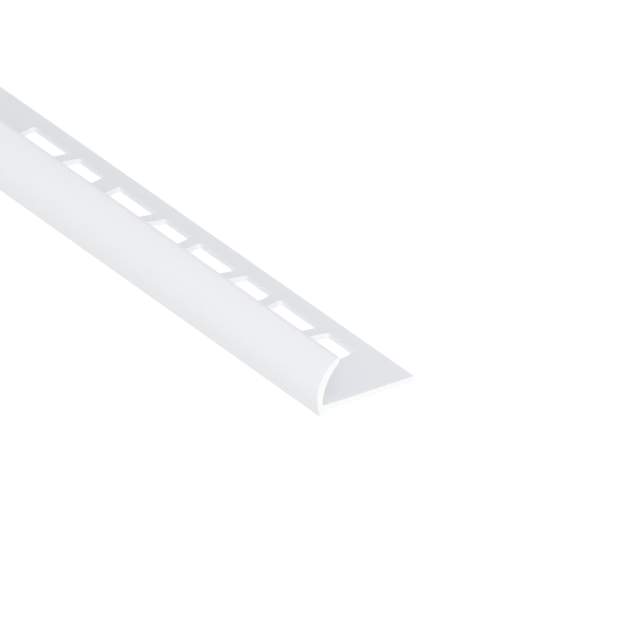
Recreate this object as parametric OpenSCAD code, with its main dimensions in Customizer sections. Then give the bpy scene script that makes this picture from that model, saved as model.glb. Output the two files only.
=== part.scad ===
// Quarter round tile edging trim: a curved face on a flat flange with a row
// of punched trapezoid holes. X runs across, Y along the length, Z up.

/* [Stock] */
// Length of the bar
length = 2500; // [1000:50:3000]

/* [Curved face] */
// Radius of the outer curve
face_r = 8.3; // [8:0.1:8.8]
// Radius of the inner curve
inner_r = 10.2; // [9.8:0.1:10.8]
// Wall at the foot of the curve
foot_wall = 1.16; // [1:0.02:1.6]
// Height of the lip over the flange's top
lip_h = 8.9; // [8.4:0.05:9.4]
// How far the lip reaches in over the flange
lip_reach = 4; // [3.9:0.05:4.4]
// How far the lip's end leans in under its tip, in degrees
lip_lean = 27; // [20:1:32]
// Height of the outer curve's centre over the flange's top
face_centre_h = 1.6; // [1.3:0.1:1.9]
// Drop of the toe's tip under the flange's top
toe_drop = 2.14; // [1.9:0.02:2.4]
// How far in the toe runs out into the underside
toe_run = 1.4; // [1.2:0.1:2.4]

/* [Flange] */
// Width of the flange from the inner corner
flange_w = 20.2; // [18.5:0.05:24]
// Thickness of the flange
flange_t = 1.1; // [0.8:0.05:1.3]

/* [Edges] */
// Radius where the curve turns into the flat on the lip
crown_round = 0.8; // [0.4:0.1:1]
// Radius of the lip's tip
lip_round = 0.24; // [0.1:0.02:0.26]
// Radius of the fillet in the inner corner
root_round = 0.25; // [0.1:0.05:0.4]
// Radius of the toe's tip
toe_round = 0.08; // [0.04:0.02:0.2]
// Radius where the toe runs out into the underside
run_out_round = 1.5; // [1:0.5:3]
// Radius of the two corners along the flange's edge
edge_round = 0.16; // [0.1:0.02:0.3]

/* [Holes] */
// Holes in a group
holes_per_group = 8; // [2:1:8]
// Distance from one group to the next
group_pitch = 125; // [122:0.5:126]
// Plain flange before the first hole
plain_end = 12.6; // [6:0.1:16]
// Distance from one hole to the next
hole_pitch = 13.33; // [12.8:0.01:13.6]
// Holes before the wider web
first_run = 6; // [2:1:8]
// What the wider web has more than the others
web_extra = 2.1; // [0:0.1:2.5]
// Mean length of a hole along the bar
hole_l = 10.7; // [9:0.1:11.2]
// Width of a hole across the flange
hole_w = 10.2; // [8:0.1:10.8]
// Edge of the flange outside the holes
hole_margin = 3.6; // [2.5:0.05:5]
// Slant of a hole's ends, in degrees
hole_slant = 11.5; // [0:0.5:15]
// Radius in a hole's corners
hole_corner = 0.7; // [0.2:0.1:1.2]

/* [Hidden] */
white = [0.91, 0.92, 0.92];
overall_w = foot_wall + flange_w;
face_centre = [face_r - foot_wall, face_centre_h];
inner_centre = [inner_r, 0];
// below the flange's top the outer curve goes on straight to the toe's tip
flank_tilt = asin(face_centre_h / face_r);
flank_top = [face_centre[0] - face_r * cos(flank_tilt), 0];
toe_tip = [flank_top[0] + toe_drop * tan(flank_tilt), -toe_drop];
run_out = [toe_run, -flange_t];
tip_centre = arc_centre(toe_tip, flank_top, run_out, toe_round);
// moves from the inner corner on the flange's top to the middle of the base, level with the rounded tip
shift_x = foot_wall - overall_w / 2;
shift_z = toe_round - tip_centre[1];
// the lip's tip, and the cut that goes down and in from it, past the inner curve
lip_tip = [lip_reach, lip_h];
lip_cut = 3;
lip_end = lip_tip - [sin(lip_lean), cos(lip_lean)] * lip_cut;
// where the curve would meet the flat on the lip
crown = [face_centre[0] - sqrt(pow(face_r, 2) - pow(lip_h - face_centre_h, 2)), lip_h];
// room past a face for a cut that goes right through
past = 2;
// how far a scrap goes past its corner
spill = 0.2;
corner_steps = 3;
// groups of holes that begin before the bar ends
groups = ceil((length - plain_end) / group_pitch);
hole_mid_x = flange_w - hole_margin - hole_w / 2;

// The unit vector from one point to another
function way(from, to) = (to - from) / norm(to - from);

// Half the angle at a corner between two points on its sides
function half_angle(corner, side, next) = acos(way(corner, side) * way(corner, next)) / 2;

// Centre of the arc that rounds a corner of two straight sides
function arc_centre(corner, side, next, r) =
    corner + way([0, 0], way(corner, side) + way(corner, next)) * r / sin(half_angle(corner, side, next));

// Where that arc meets the first side
function arc_start(corner, side, next, r) =
    corner + way(corner, side) * r / tan(half_angle(corner, side, next));

// What lies between a corner and the arc inside it: the arc's centre and where it meets the two sides
module corner_scrap(corner, centre, from, to, r) {
    difference() {
        polygon([centre, from, corner + way(centre, corner) * spill, to]);
        translate(centre) circle(r = r, $fn = 60);
    }
}

// The same at a corner of two straight sides, each given by a point on it
module straight_scrap(corner, side, next, r) {
    corner_scrap(
        corner, arc_centre(corner, side, next, r),
        arc_start(corner, side, next, r), arc_start(corner, next, side, r), r
    );
}

// The scrap outside the round from the curve to the flat on the lip
module crown_scrap() {
    r = crown_round;
    rise = lip_h - r - face_centre_h;
    centre = [face_centre[0] - sqrt(pow(face_r - r, 2) - pow(rise, 2)), lip_h - r];
    corner_scrap(crown, centre, face_centre + way(face_centre, centre) * face_r, [centre[0], lip_h], r);
}

// The fillet between the inner curve and the flange's top
module root_fillet() {
    r = root_round;
    centre = [inner_r - sqrt(pow(inner_r - r, 2) - pow(r, 2)), r];
    corner_scrap([0, 0], centre, inner_centre + way(inner_centre, centre) * inner_r, [centre[0], 0], r);
}

// The side of the curve where the tile goes
module tile_side() {
    intersection() {
        translate(inner_centre) circle(r = inner_r, $fn = 200);
        square([flange_w, inner_r]);
    }
}

// The curved wall, up to the lip
module curved_wall() {
    difference() {
        intersection() {
            translate(face_centre) circle(r = face_r, $fn = 200);
            polygon([
                flank_top - [past, 0],
                [-foot_wall - past, lip_h],
                lip_tip,
                lip_end,
                [toe_run + past, 0],
            ]);
        }
        tile_side();
        crown_scrap();
        straight_scrap(lip_tip, crown, lip_end, lip_round);
    }
}

// The flat flange, with the pointed toe under the foot of the curve
module flange() {
    high = [flange_w, 0];
    low = [flange_w, -flange_t];
    hollow = arc_centre(run_out, toe_tip, low, run_out_round);
    difference() {
        polygon([
            flank_top,
            toe_tip,
            arc_start(run_out, toe_tip, low, run_out_round),
            hollow,
            arc_start(run_out, low, toe_tip, run_out_round),
            low,
            high,
        ]);
        translate(hollow) circle(r = run_out_round, $fn = 200);
        straight_scrap(toe_tip, flank_top, run_out, toe_round);
        straight_scrap(high, flank_top, low, edge_round);
        straight_scrap(low, high, run_out, edge_round);
    }
}

// The whole section, from the inner corner on the flange's top
module section() {
    curved_wall();
    flange();
    root_fillet();
}

// One corner of a hole, rounded: where it is, and the angle its arc starts and ends at
function corner_arc(x, y, from, to) = [
    for (i = [0:corner_steps])
        let (a = from + (to - from) * i / corner_steps)
        [x + hole_corner * cos(a), y + hole_corner * sin(a)]
];

// A hole, wider to the flange's edge (way = 1) or to the curve (way = -1)
module hole(way) {
    slant = way * hole_slant;
    // centres of the corner arcs, in from the sides by their radius
    in_x = hole_w / 2 - hole_corner;
    out_y = hole_l / 2 + in_x * tan(slant) - hole_corner / cos(slant);
    near_y = hole_l / 2 - in_x * tan(slant) - hole_corner / cos(slant);
    polygon(concat(
        corner_arc(in_x, out_y, 0, 90 + slant),
        corner_arc(-in_x, near_y, 90 + slant, 180),
        corner_arc(-in_x, -near_y, 180, 270 - slant),
        corner_arc(in_x, -out_y, 270 - slant, 360)
    ));
}

// All the holes, in plan
module holes() {
    for (g = [0:groups - 1])
        for (n = [0:holes_per_group - 1])
            translate([
                hole_mid_x,
                plain_end + hole_l / 2 + g * group_pitch + n * hole_pitch + (n >= first_run ? web_extra : 0),
            ])
                hole(n % 2 == 0 ? -1 : 1);
}

module quarter_round_trim() {
    color(white)
        translate([shift_x, -length / 2, shift_z])
            difference() {
                translate([0, length, 0]) rotate([90, 0, 0]) linear_extrude(height = length) section();
                translate([0, 0, -flange_t - past]) linear_extrude(height = flange_t + 2 * past) holes();
            }
}

quarter_round_trim();
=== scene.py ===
import math

import bmesh
import bpy
from mathutils import Matrix, Vector


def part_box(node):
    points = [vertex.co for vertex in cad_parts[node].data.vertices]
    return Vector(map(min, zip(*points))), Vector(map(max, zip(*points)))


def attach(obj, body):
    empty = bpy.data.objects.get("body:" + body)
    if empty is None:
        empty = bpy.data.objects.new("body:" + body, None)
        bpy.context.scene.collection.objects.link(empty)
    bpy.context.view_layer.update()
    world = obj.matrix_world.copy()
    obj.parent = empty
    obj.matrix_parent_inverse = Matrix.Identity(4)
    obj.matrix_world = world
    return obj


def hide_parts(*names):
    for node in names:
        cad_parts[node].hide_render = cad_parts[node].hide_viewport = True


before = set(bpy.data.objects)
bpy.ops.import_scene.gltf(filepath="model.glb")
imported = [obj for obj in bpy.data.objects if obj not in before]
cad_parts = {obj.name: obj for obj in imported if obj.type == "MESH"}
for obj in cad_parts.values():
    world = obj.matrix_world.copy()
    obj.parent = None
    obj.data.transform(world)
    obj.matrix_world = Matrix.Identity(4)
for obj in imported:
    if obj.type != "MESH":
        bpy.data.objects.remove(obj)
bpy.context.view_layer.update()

# The bar. One length of white plastic is pushed through a die, so its section is the same all along it:
# a curved face that ends in a thin lip above and a pointed toe below, and a flat flange behind it.
mm = 0.001
trim_low, trim_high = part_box("quarter_round_trim")
near_y, far_y = trim_low.y, trim_high.y
face_radius = 8.3 * mm
inner_radius = 10.2 * mm
foot_wall = 1.16 * mm
flange_thick = 1.1 * mm
lip_height = 8.9 * mm
lip_reach = 4.0 * mm
lip_lean = math.radians(27.0)
toe_drop = 2.14 * mm
toe_run = 1.4 * mm
crown_round = 0.8 * mm
lip_round = 0.24 * mm
root_round = 0.25 * mm
toe_round = 0.08 * mm
run_out_round = 1.5 * mm
edge_round = 0.16 * mm
face_centre_height = 1.6 * mm
face_centre = Vector((face_radius - foot_wall, face_centre_height))
inner_centre = Vector((inner_radius, 0.0))
corner_x = trim_low.x + foot_wall
flange_edge = trim_high.x - corner_x
flange_top = trim_high.z - lip_height
# points along the two large arcs and the small rounds of the section
face_points = 72
inner_points = 56
lip_points = 8
edge_points = 6
small_points = 5


def sweep(centre, start, end, count):
    """Points of the arc round a centre from one point to another, by the shorter way."""
    arm = start - centre
    turn = -arm.angle_signed(end - centre)
    return [centre + Matrix.Rotation(turn * i / (count - 1), 2) @ arm for i in range(count)]


def corner_sweep(before, corner, after, radius, count):
    """The arc that rounds the corner of two straight sides."""
    u, v = (before - corner).normalized(), (after - corner).normalized()
    half = u.angle(v) / 2
    centre = corner + (u + v).normalized() * radius / math.sin(half)
    reach = radius / math.tan(half)
    return sweep(centre, corner + u * reach, corner + v * reach, count)


def bar_section():
    """The closed outline of the section, from the inner corner on the flange's top."""
    # below the flange's top the face goes on straight to the toe's tip
    tilt = math.asin(face_centre.y / face_radius)
    flank_top = Vector((face_centre.x - face_radius * math.cos(tilt), 0.0))
    toe_tip = Vector((flank_top.x + toe_drop * math.tan(tilt), -toe_drop))
    run_out = Vector((toe_run, -flange_thick))
    low, high = Vector((flange_edge, -flange_thick)), Vector((flange_edge, 0.0))
    # the lip's end leans in from its tip down to the inner curve
    lip_tip = Vector((lip_reach, lip_height))
    lean = Vector((-math.sin(lip_lean), -math.cos(lip_lean)))
    arm = lip_tip - inner_centre
    slide = -arm.dot(lean) - math.sqrt(arm.dot(lean) ** 2 - arm.length_squared + inner_radius ** 2)
    lip_foot = lip_tip + lean * slide
    # centres of the rounds where the face turns into the lip's flat and in the inner corner
    crown_rise = lip_height - crown_round - face_centre.y
    crown_back = math.sqrt((face_radius - crown_round) ** 2 - crown_rise ** 2)
    crown = face_centre + Vector((-crown_back, crown_rise))
    crown_start = face_centre + (crown - face_centre).normalized() * face_radius
    root_back = math.sqrt((inner_radius - root_round) ** 2 - root_round ** 2)
    root = Vector((inner_radius - root_back, root_round))
    root_start = inner_centre + (root - inner_centre).normalized() * inner_radius

    outline = corner_sweep(run_out, toe_tip, flank_top, toe_round, small_points)
    outline += sweep(face_centre, flank_top, crown_start, face_points)
    outline += sweep(crown, crown_start, Vector((crown.x, lip_height)), small_points)[1:]
    outline += corner_sweep(Vector((crown.x, lip_height)), lip_tip, lip_foot, lip_round, lip_points)
    outline += sweep(inner_centre, lip_foot, root_start, inner_points)
    outline += sweep(root, root_start, Vector((root.x, 0.0)), small_points)[1:]
    outline += corner_sweep(flank_top, high, low, edge_round, edge_points)
    outline += corner_sweep(high, low, run_out, edge_round, edge_points)
    return outline + corner_sweep(low, run_out, toe_tip, run_out_round, edge_points)


def bar_mesh():
    """The section pushed along the bar, with its two sawn ends."""
    bm = bmesh.new()
    rings = []
    for y in (near_y, far_y):
        rings.append([bm.verts.new((corner_x + p.x, y, flange_top + p.y)) for p in bar_section()])
    count = len(rings[0])
    for i in range(count):
        j = (i + 1) % count
        bm.faces.new((rings[0][i], rings[0][j], rings[1][j], rings[1][i]))
    for ring in rings:
        bm.faces.new(ring).material_index = 1
    bmesh.ops.recalc_face_normals(bm, faces=bm.faces)
    mesh = bpy.data.meshes.new("trim")
    bm.to_mesh(mesh)
    bm.free()
    return mesh


# The plastic. Rigid white PVC with a faint cool tone, satin from the die, with fine draw lines along the
# bar. The sawn ends are matt with fine saw lines, and their tone is painted paler and warmer than the
# drawn faces: painted light that brightens the ends. The punched walls of the holes are paler and cooler:
# partly as PVC whitens where it is sheared, partly painted light that brightens the walls and gives them a
# cool cast.
drawn_tones = (0.873, 0.880, 0.895), (0.851, 0.860, 0.878)
# painted light: the sawn ends' tones are painted paler than the plastic's own, so the ends look brightly lit
sawn_tones_painted_light = (0.936, 0.929, 0.923), (0.916, 0.910, 0.904)
# partly painted light: the walls' tones are paler than sheared PVC alone and painted cool, so the walls look
# lit
punched_tones_sheared_and_painted_light = (0.948, 0.955, 0.965), (0.928, 0.936, 0.948)
drawn_rough, sawn_rough, punched_rough = 0.34, 0.5, 0.46
drawn_depth, sawn_depth, punched_depth = 0.006 * mm, 0.01 * mm, 0.002 * mm
plastic_index = 1.53
# how often the marks of each finish turn from light to dark in a metre of X, Y and Z
draw_lines = (3200.0, 4.0, 3200.0)
draw_bands = (260.0, 9.0, 260.0)
draw_grain = (5200.0, 5200.0, 5200.0)
saw_lines = (900.0, 900.0, 6500.0)
saw_crumb = (7000.0, 7000.0, 7000.0)
shear_lines = (4200.0, 4200.0, 500.0)


class Value:
    """A number that runs through a node tree: maths on it adds the nodes that work it out."""

    def __init__(self, net, socket):
        self.net, self.socket = net, socket

    def maths(self, kind, *others, flip=False):
        """This number and the others, put together by a kind of maths, or the other one first if flipped."""
        terms = (others[0], self) if flip else (self, *others)
        made = self.net.add("ShaderNodeMath", {"operation": kind}, dict(enumerate(terms)))
        return Value(self.net, made.outputs[0])

    def __add__(self, other):
        return self.maths("ADD", other)

    def __sub__(self, other):
        return self.maths("SUBTRACT", other)

    def __rsub__(self, other):
        return self.maths("SUBTRACT", other, flip=True)

    def __mul__(self, other):
        return self.maths("MULTIPLY", other)

    def __truediv__(self, other):
        return self.maths("DIVIDE", other)

    def __rtruediv__(self, other):
        return self.maths("DIVIDE", other, flip=True)

    def __lt__(self, other):
        return self.maths("LESS_THAN", other)

    def __gt__(self, other):
        return self.maths("GREATER_THAN", other)

    __radd__ = __add__
    __rmul__ = __mul__


class Net:
    """A node tree of a material or of a shape, to which nodes are added by their type."""

    def __init__(self, tree):
        self.tree = tree

    def add(self, kind, settings=None, inputs=None):
        """A node with its settings made first, then the values or links of its sockets."""
        node = self.tree.nodes.new(kind)
        for name, value in (settings or {}).items():
            setattr(node, name, value)
        for name, value in (inputs or {}).items():
            self.feed(node.inputs[name], value)
        return node

    def feed(self, socket, value):
        """Links a value, a node's first output or an output to the socket, or sets a plain value."""
        if isinstance(value, Value):
            value = value.socket
        if isinstance(value, bpy.types.Node):
            value = value.outputs[0]
        if isinstance(value, bpy.types.NodeSocket):
            self.tree.links.new(value, socket)
        else:
            socket.default_value = value

    def value(self, kind, settings=None, inputs=None):
        """The number that a node gives."""
        return Value(self, self.add(kind, settings, inputs).outputs[0])


def plastic(name, tones, build):
    """A finish whose build gives the mask between its tones, the roughness, and a bump and its depth."""
    material = bpy.data.materials.new(name)
    material.use_nodes = True
    net = Net(material.node_tree)
    net.tree.nodes.clear()
    place = net.add("ShaderNodeTexCoord").outputs["Object"]
    mask, rough, height, depth = build(net, place)
    light, dark = tones
    tone = net.add(
        "ShaderNodeMix", {"data_type": "RGBA"}, {"Factor": mask, "A": (*light, 1.0), "B": (*dark, 1.0)}
    )
    bump = net.add("ShaderNodeBump", None, {"Strength": 1.0, "Distance": depth, "Height": height})
    shader = net.add(
        "ShaderNodeBsdfPrincipled",
        None,
        {
            "Base Color": tone.outputs["Result"],
            "Roughness": rough,
            "IOR": plastic_index,
            "Normal": bump,
        },
    )
    net.add("ShaderNodeOutputMaterial", None, {"Surface": shader})
    return material


def stretched(net, place, scale, detail=2.0):
    """Noise drawn out or squeezed along the axes by the scale."""
    mapped = net.add("ShaderNodeMapping", None, {"Vector": place, "Scale": scale})
    return net.value("ShaderNodeTexNoise", None, {"Vector": mapped, "Scale": 1.0, "Detail": detail})


def drawn_finish(net, place):
    """Draw lines along the bar over a very slight unevenness."""
    lines = stretched(net, place, draw_lines)
    bands = stretched(net, place, draw_bands)
    grain = stretched(net, place, draw_grain)
    mask = bands * 0.6 + lines * 0.4
    rough = drawn_rough + lines * 0.08 + bands * 0.08
    return mask, rough, lines * 0.7 + grain * 0.3, drawn_depth


def sawn_finish(net, place):
    """Saw lines across the end, over a fine crumb."""
    lines = stretched(net, place, saw_lines)
    crumb = stretched(net, place, saw_crumb, 3.0)
    mask = lines * 0.3 + crumb * 0.2
    return mask, sawn_rough + crumb * 0.15, lines * 0.6 + crumb * 0.4, sawn_depth


def punched_finish(net, place):
    """Shear lines down the wall of a hole."""
    lines = stretched(net, place, shear_lines)
    return lines * 0.5, punched_rough + lines * 0.1, lines, punched_depth


drawn_plastic = plastic("drawn_plastic", drawn_tones, drawn_finish)
sawn_plastic = plastic("sawn_plastic", sawn_tones_painted_light, sawn_finish)
punched_plastic = plastic("punched_plastic", punched_tones_sheared_and_painted_light, punched_finish)

trim = bpy.data.objects.new("trim", bar_mesh())
bpy.context.scene.collection.objects.link(trim)
for material in (drawn_plastic, sawn_plastic, punched_plastic):
    trim.data.materials.append(material)

# The holes. A punch with eight teeth stamps trapezoids through the flange, turned in and out by turns, so
# that slanted webs are left between them. The punch rounds the upper rim a little as it goes in.
hole_sizes = {
    "Groups": 20,
    "Holes per group": 8,
    "First run": 6,
    "Group pitch": 125 * mm,
    "Hole pitch": 13.33 * mm,
    "Web extra": 2.1 * mm,
    "Plain end": 12.6 * mm,
    "Hole length": 10.7 * mm,
    "Hole width": 10.2 * mm,
    "Edge margin": 3.6 * mm,
    "Slant": math.radians(11.5),
    "Corner radius": 0.7 * mm,
    "Rim radius": 0.2 * mm,
}
corner_steps = 5
rim_steps = 4
# the rim ends a hair over the flange's top, so that no edge of the tooth lies in that face
rim_sunk = 0.98
# how far a tooth goes past the flange below and above
past = 0.4 * mm
# keeps a whole quotient from falling just under its number
hair = 0.001
# a bend of more than this shows as an edge
crease_angle = math.radians(35.0)


def punch_tree():
    """The tree that stamps the holes through the bar it is put on."""
    tree = bpy.data.node_groups.new("punched_holes", "GeometryNodeTree")
    sockets = tree.interface
    sockets.new_socket("Geometry", in_out="INPUT", socket_type="NodeSocketGeometry")
    for name, size in hole_sizes.items():
        whole = isinstance(size, int)
        kind = "NodeSocketInt" if whole else "NodeSocketFloat"
        sockets.new_socket(name, in_out="INPUT", socket_type=kind)
    sockets.new_socket("Geometry", in_out="OUTPUT", socket_type="NodeSocketGeometry")
    net = Net(tree)
    given = net.add("NodeGroupInput")
    size = {name: Value(net, given.outputs[name]) for name in hole_sizes}

    # one tooth of the punch, wider to the flange's edge
    lean = size["Slant"].maths("TANGENT") * size["Hole width"]
    outline = net.add(
        "GeometryNodeCurvePrimitiveQuadrilateral",
        {"mode": "TRAPEZOID"},
        {
            "Height": size["Hole width"],
            "Bottom Width": size["Hole length"] - lean,
            "Top Width": size["Hole length"] + lean,
            "Offset": 0.0,
        },
    )
    outline = net.add(
        "GeometryNodeFilletCurve",
        {"mode": "POLY"},
        {"Curve": outline, "Count": corner_steps, "Radius": size["Corner radius"], "Limit Radius": True},
    )
    shank = net.add("GeometryNodeCurvePrimitiveLine", None, {"End": (0.0, 0.0, 1.0)})
    shank = net.add(
        "GeometryNodeResampleCurve", {"mode": "COUNT"}, {"Curve": shank, "Count": rim_steps + 3}
    )
    step = net.value("GeometryNodeInputIndex")
    turn = ((step - 1.0) / rim_steps).maths("MAXIMUM", 0.0).maths("MINIMUM", 1.0) * (math.pi / 2)
    rim = size["Rim radius"]
    height = rim * turn.maths("SINE") - rim * rim_sunk
    height = height - (step < 0.5) * (flange_thick + past) + (step > rim_steps + 1.5) * past
    spot = net.add("ShaderNodeCombineXYZ", None, {"Z": height})
    shank = net.add("GeometryNodeSetPosition", None, {"Geometry": shank, "Position": spot})
    grown = 1.0 + rim * (1.0 - turn.maths("COSINE")) * 2.0 / size["Hole length"]
    shank = net.add("GeometryNodeSetCurveRadius", None, {"Curve": shank, "Radius": grown})
    tooth = net.add(
        "GeometryNodeCurveToMesh", None, {"Curve": shank, "Profile Curve": outline, "Fill Caps": True}
    )

    # where each hole goes along the bar
    count = size["Groups"] * size["Holes per group"]
    spots = net.add("GeometryNodeMeshLine", None, {"Count": count, "Offset": (0.0, 0.0, 0.0)})
    index = net.value("GeometryNodeInputIndex")
    group = (index / size["Holes per group"] + hair).maths("FLOOR")
    place = index - group * size["Holes per group"]
    wider = (place > size["First run"] - 0.5) * size["Web extra"]
    along = size["Plain end"] + size["Hole length"] / 2.0 + group * size["Group pitch"]
    along = along + place * size["Hole pitch"] + wider + near_y
    across = corner_x + flange_edge - size["Edge margin"] - size["Hole width"] / 2.0
    spot = net.add("ShaderNodeCombineXYZ", None, {"X": across, "Y": along, "Z": flange_top})
    spots = net.add("GeometryNodeSetPosition", None, {"Geometry": spots, "Position": spot})
    turned = place.maths("MODULO", 2.0) < 0.5
    facing = net.add("ShaderNodeCombineXYZ", None, {"Z": turned * math.pi - math.pi / 2})
    facing = net.add("FunctionNodeEulerToRotation", None, {"Euler": facing})
    teeth = net.add(
        "GeometryNodeInstanceOnPoints", None, {"Points": spots, "Instance": tooth, "Rotation": facing}
    )
    teeth = net.add("GeometryNodeRealizeInstances", None, {"Geometry": teeth})
    teeth = net.add(
        "GeometryNodeStoreNamedAttribute",
        {"data_type": "BOOLEAN", "domain": "FACE"},
        {"Geometry": teeth, "Name": "punched", "Value": True},
    )
    cut = net.add(
        "GeometryNodeMeshBoolean",
        {"operation": "DIFFERENCE", "solver": "MANIFOLD"},
        {"Mesh 1": given.outputs["Geometry"], "Mesh 2": teeth},
    )
    whole = net.add("GeometryNodeRealizeInstances", None, {"Geometry": cut})
    walls = net.add("GeometryNodeInputNamedAttribute", {"data_type": "BOOLEAN"}, {"Name": "punched"})
    whole = net.add(
        "GeometryNodeSetMaterial",
        None,
        {"Geometry": whole, "Selection": walls, "Material": punched_plastic},
    )
    net.add("NodeGroupOutput", None, {"Geometry": whole})
    return tree


def settle(piece):
    """Makes what the piece's modifiers do part of its mesh."""
    graph = bpy.context.evaluated_depsgraph_get()
    made = bpy.data.meshes.new_from_object(piece.evaluated_get(graph))
    piece.modifiers.clear()
    piece.data = made
    made.name = piece.name


punch = trim.modifiers.new("punch", "NODES")
punch.node_group = punch_tree()
for item in punch.node_group.interface.items_tree:
    if item.item_type == "SOCKET" and item.in_out == "INPUT" and item.name in hole_sizes:
        punch[item.identifier] = hole_sizes[item.name]
settle(trim)
for face in trim.data.polygons:
    face.use_smooth = True
trim.data.set_sharp_from_angle(angle=crease_angle)
even = trim.modifiers.new("even_shading", "WEIGHTED_NORMAL")
even.keep_sharp = True
settle(trim)
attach(trim, "root")
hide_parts("quarter_round_trim")

# The floor. A plain white sheet, far wider than the bar, that shows white to the camera and keeps a faint
# shadow where the trim lies on it.
floor_size = 60.0
paper_shade = 0.25
paper_glow = 0.84
white = (1.0, 1.0, 1.0, 1.0)
floor_mesh = bpy.data.meshes.new("floor")
bm = bmesh.new()
under_bar = Matrix.Translation((0, 0, trim_low.z))
bmesh.ops.create_grid(bm, x_segments=1, y_segments=1, size=floor_size, matrix=under_bar)
bm.to_mesh(floor_mesh)
bm.free()
floor = bpy.data.objects.new("floor", floor_mesh)
bpy.context.scene.collection.objects.link(floor)
paper = bpy.data.materials.new("white_paper")
paper.use_nodes = True
net = Net(paper.node_tree)
net.tree.nodes.clear()
unseen = net.add("ShaderNodeBsdfTransparent", None, {"Color": white})
shaded = net.add("ShaderNodeBsdfDiffuse", None, {"Color": (paper_shade, paper_shade, paper_shade, 1.0)})
glowing = net.add("ShaderNodeEmission", None, {"Color": white, "Strength": paper_glow})
seen = net.add("ShaderNodeAddShader", None, {0: shaded, 1: glowing})
ray = net.add("ShaderNodeLightPath").outputs["Is Camera Ray"]
sheet = net.add("ShaderNodeMixShader", None, {0: ray, 1: unseen, 2: seen})
net.add("ShaderNodeOutputMaterial", None, {"Surface": sheet})
floor_mesh.materials.append(paper)

# The light. A soft room, brighter towards the far end, dimmer overhead and cooler past the flange. A wide
# lamp shines from far off before the near end, and a round one hangs near over it, so that the bar dims a
# little further off.
room_level = 0.942
flange_side_gain = 0.075
far_end_gain = 0.22
overhead_loss = 0.555
underfoot_loss = 0.3
cool_share = 0.085
world = bpy.data.worlds.new("room")
bpy.context.scene.world = world
world.use_nodes = True
net = Net(world.node_tree)
net.tree.nodes.clear()
towards = net.add("ShaderNodeTexCoord").outputs["Generated"]
split = net.add("ShaderNodeSeparateXYZ", None, {"Vector": towards})
side, ahead, rise = (Value(net, split.outputs[axis]) for axis in "XYZ")
beyond = side.maths("MAXIMUM", 0.0)
strength = room_level + beyond * flange_side_gain + ahead * far_end_gain
strength = strength - rise.maths("MAXIMUM", 0.0) * overhead_loss
strength = strength + rise.maths("MINIMUM", 0.0) * underfoot_loss
cool = {"Red": 1.0 - beyond * cool_share, "Green": 1.0, "Blue": 1.0 + beyond * cool_share}
cool = net.add("ShaderNodeCombineColor", None, cool)
room = net.add("ShaderNodeBackground", None, {"Color": cool, "Strength": strength})
backdrop = net.add("ShaderNodeBackground", None, {"Color": white, "Strength": 1.0})
ray = net.add("ShaderNodeLightPath")
seen = Value(net, ray.outputs["Is Camera Ray"]).maths("MAXIMUM", ray.outputs["Is Glossy Ray"])
around = net.add("ShaderNodeMixShader", None, {0: seen, 1: room, 2: backdrop})
net.add("ShaderNodeOutputWorld", None, {"Surface": around})


def hang(lamp, way, far):
    """Hangs a lamp that way and that far from the near end, facing it."""
    holder = bpy.data.objects.new(lamp.name, lamp)
    way = Vector(way).normalized()
    holder.location = Vector((corner_x, near_y, flange_top)) + way * far
    holder.rotation_mode = "QUATERNION"
    holder.rotation_quaternion = way.to_track_quat("Z", "Y")
    holder.visible_camera = False
    bpy.context.scene.collection.objects.link(holder)


front_share = 0.345
front_angle = math.radians(60.0)
front_way, front_far = (-0.3, -0.9, 0.30), 1.0
front_lamp = bpy.data.lights.new("front_lamp", "SUN")
front_lamp.angle = front_angle
front_lamp.energy = front_share * math.pi
hang(front_lamp, front_way, front_far)

top_share = 0.225
top_half_angle = math.radians(30.0)
top_way, top_far = (-0.3, -0.45, 0.84), 600 * mm
top_lamp = bpy.data.lights.new("top_lamp", "AREA")
top_lamp.shape = "DISK"
top_lamp.size = 2 * top_far * math.tan(top_half_angle)
top_lamp.energy = top_share * (math.pi * top_far / math.cos(top_half_angle)) ** 2
hang(top_lamp, top_way, top_far)

# The camera. It looks along and down the bar from over its near left, through a long lens, so that the near
# end is at the lower right and the bar leaves the picture at the upper left.
camera_azimuth = math.radians(34.36)
camera_tilt = math.radians(28.63)
camera_distance = 2856 * mm
picture_scale = 5.5212 / mm
picture_half = 320.0
anchor_pixel = (322.60, 411.50)
anchor = Vector((corner_x, near_y, flange_top - flange_thick))
right = Vector((math.cos(camera_azimuth), -math.sin(camera_azimuth), 0.0))
forward = Vector(
    (
        math.sin(camera_azimuth) * math.cos(camera_tilt),
        math.cos(camera_azimuth) * math.cos(camera_tilt),
        -math.sin(camera_tilt),
    )
)
up = right.cross(forward)
camera_data = bpy.data.cameras.new("camera")
camera_data.sensor_width = 36.0
camera_data.lens = camera_data.sensor_width * picture_scale * camera_distance / (2 * picture_half)
camera_data.clip_end = 1000.0
camera = bpy.data.objects.new("camera", camera_data)
across = (anchor_pixel[0] - picture_half) / picture_scale
above = (picture_half - anchor_pixel[1]) / picture_scale
camera.location = anchor - right * across - up * above - forward * camera_distance
camera.rotation_mode = "QUATERNION"
camera.rotation_quaternion = Matrix((right, up, -forward)).transposed().to_quaternion()
bpy.context.scene.collection.objects.link(camera)
bpy.context.scene.camera = camera
bpy.context.scene.view_settings.view_transform = "Standard"
